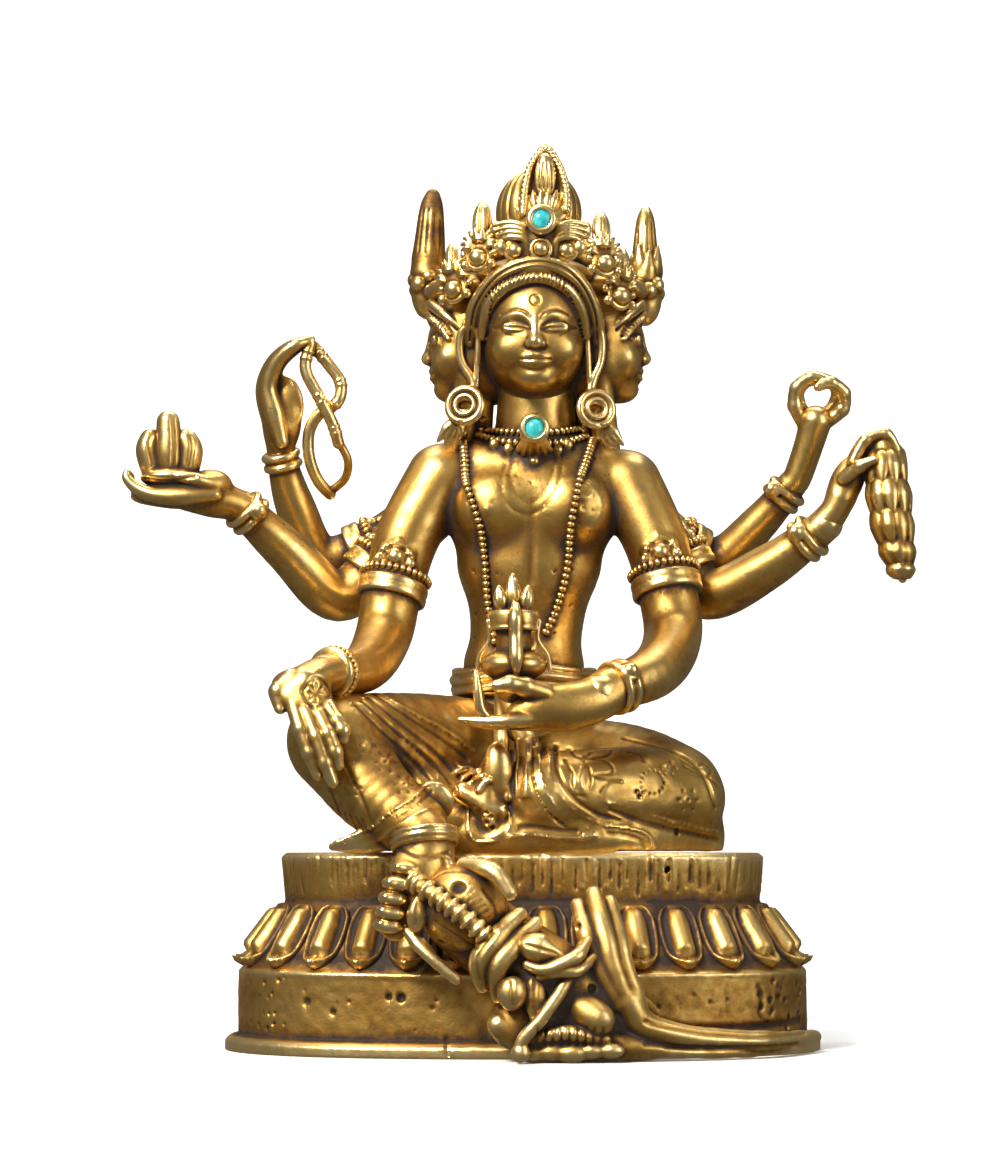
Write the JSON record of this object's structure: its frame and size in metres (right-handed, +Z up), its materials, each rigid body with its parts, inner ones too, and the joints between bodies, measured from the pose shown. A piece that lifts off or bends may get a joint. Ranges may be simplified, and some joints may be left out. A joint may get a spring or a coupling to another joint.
{
  "type": "gilt bronze deity statue",
  "caption": "Small gilt bronze statue of a seated goddess with several faces and arms on a lotus base, with turquoise stones in the crown and necklace.",
  "frame": {"origin": "middle of the base's flat underside", "axes": "+Z up, the figure faces -Y, +X is to the viewer's right"},
  "size_m": [0.1712, 0.1013, 0.1944],
  "materials": {
    "gilt_bronze": "worn gilding over brown bronze, dark patina in the recesses",
    "turquoise": "polished blue-green turquoise with dark veins"
  },
  "bodies": {
    "root": {"lotus_base": "gilt_bronze", "deity_figure": "gilt_bronze", "crown_turquoise": "turquoise", "necklace_turquoise": "turquoise"}
  },
  "joints": []
}
